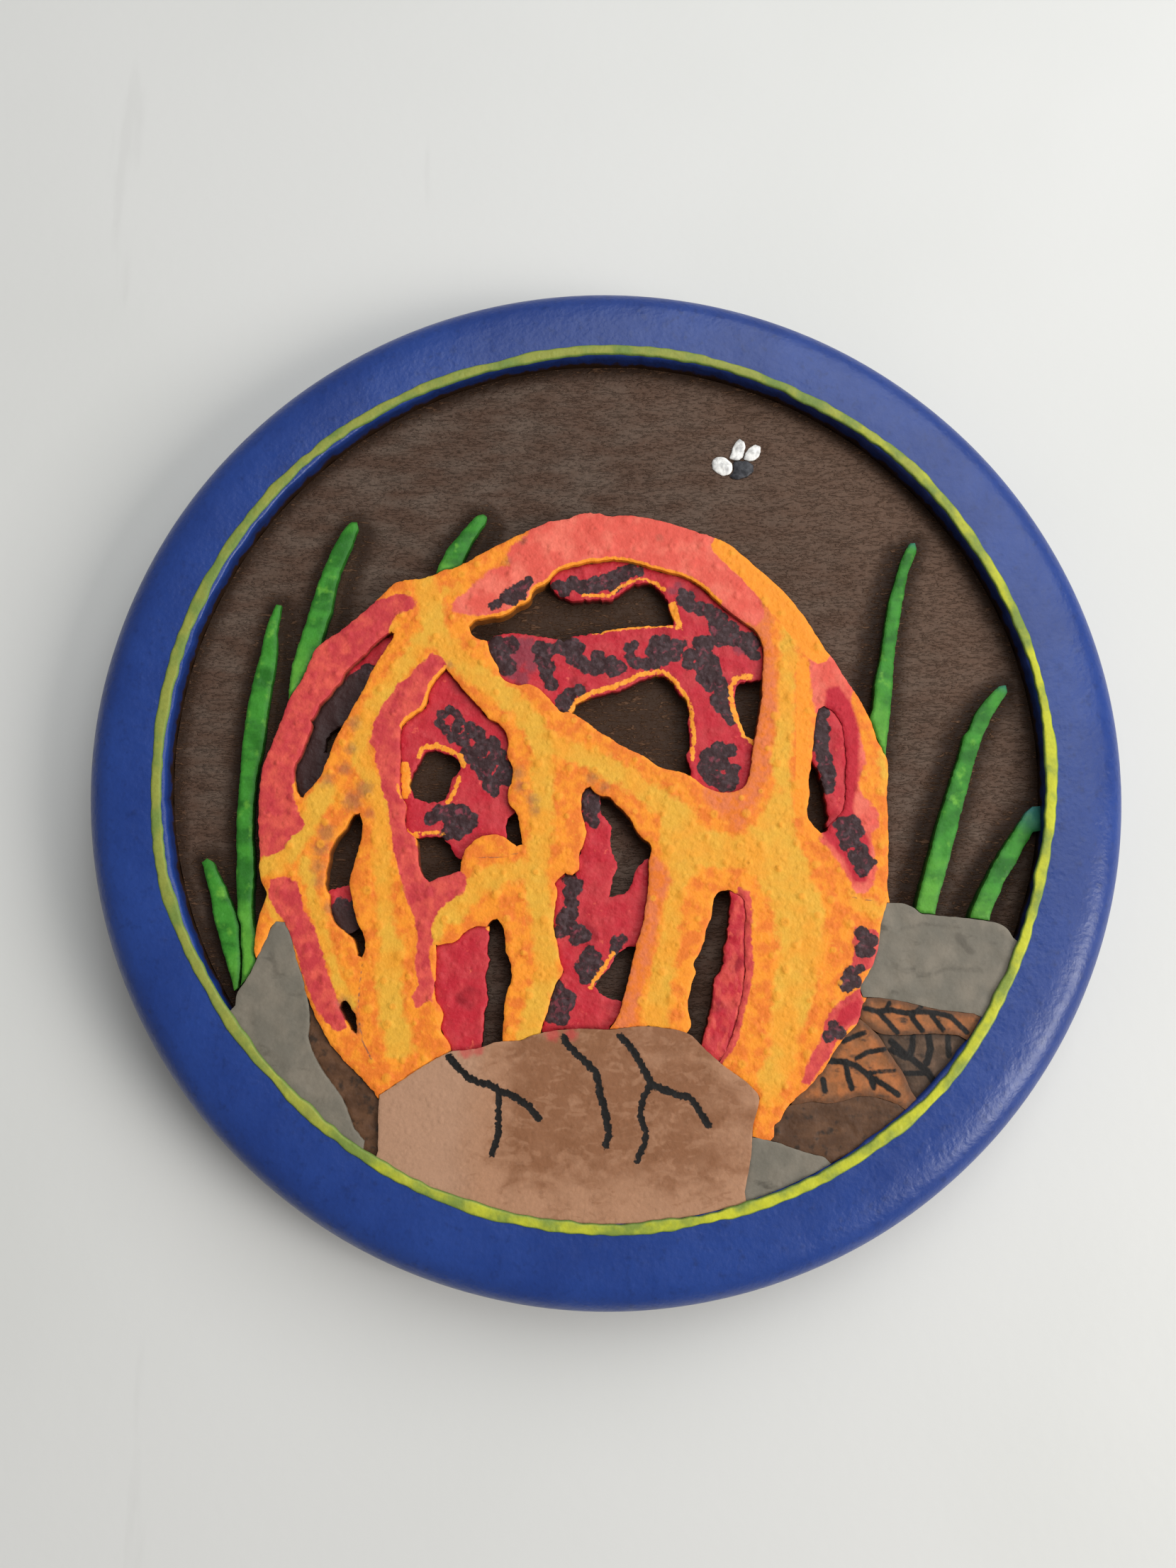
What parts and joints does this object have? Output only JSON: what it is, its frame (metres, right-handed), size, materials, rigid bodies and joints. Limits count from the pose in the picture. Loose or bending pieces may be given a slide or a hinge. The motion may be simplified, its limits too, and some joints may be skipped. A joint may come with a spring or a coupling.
{
  "type": "relief plaque",
  "caption": "Round painted wooden wall plaque: a dished face with a low relief of a lattice fungus among grass, stones and fallen leaves, inside a rounded rim with a painted line.",
  "frame": {"origin": "centre of the flat back face", "axes": "+Z out of the picture face, +Y to the top of the picture, +X to the picture's right"},
  "size_m": [0.127, 0.127, 0.0128],
  "materials": {
    "rim_paint": "blue acrylic brushed over turned wood, satin",
    "line_paint": "hand-painted yellow-green acrylic line, satin",
    "ground_paint": "dark brown acrylic, streaky and matt",
    "net_paint": "yellow, orange and coral acrylic stippled over carved wood",
    "gleba_paint": "crimson acrylic with dark purple blotches, stippled",
    "volva_paint": "tan acrylic with painted dark cracks, stippled",
    "stone_paint": "mottled grey acrylic, matt",
    "leaf_paint": "brown acrylic with dark painted veins",
    "leaf_shadow_paint": "dark brown acrylic with dark painted veins",
    "soil_paint": "dark earth-brown acrylic, matt",
    "grass_paint": "green acrylic, streaked along the blades",
    "fly_white_paint": "white acrylic, satin",
    "fly_dark_paint": "charcoal acrylic, satin"
  },
  "bodies": {
    "root": {"disc_base": "rim_paint", "rim_line": "line_paint", "background_panel": "ground_paint", "fungus_net": "net_paint", "gleba_upper": "gleba_paint", "gleba_left": "gleba_paint", "gleba_crescent": "gleba_paint", "gleba_spindle": "gleba_paint", "gleba_lower_left": "gleba_paint", "gleba_centre": "gleba_paint", "gleba_lower_right": "gleba_paint", "gleba_right": "gleba_paint", "volva": "volva_paint", "rock_left": "stone_paint", "rock_right": "stone_paint", "rock_bottom": "stone_paint", "leaf_upper": "leaf_paint", "leaf_lower": "leaf_paint", "leaf_shadowed": "leaf_shadow_paint", "soil_left": "soil_paint", "soil_right": "soil_paint", "grass_blade_short_left": "grass_paint", "grass_blade_long_left": "grass_paint", "grass_blade_upper_left": "grass_paint", "grass_blade_top": "grass_paint", "grass_blade_upper_right": "grass_paint", "grass_blade_right": "grass_paint", "grass_blade_low_right": "grass_paint", "fly_head": "fly_white_paint", "fly_left_wing": "fly_white_paint", "fly_right_wing": "fly_white_paint", "fly_body": "fly_dark_paint"}
  },
  "joints": []
}
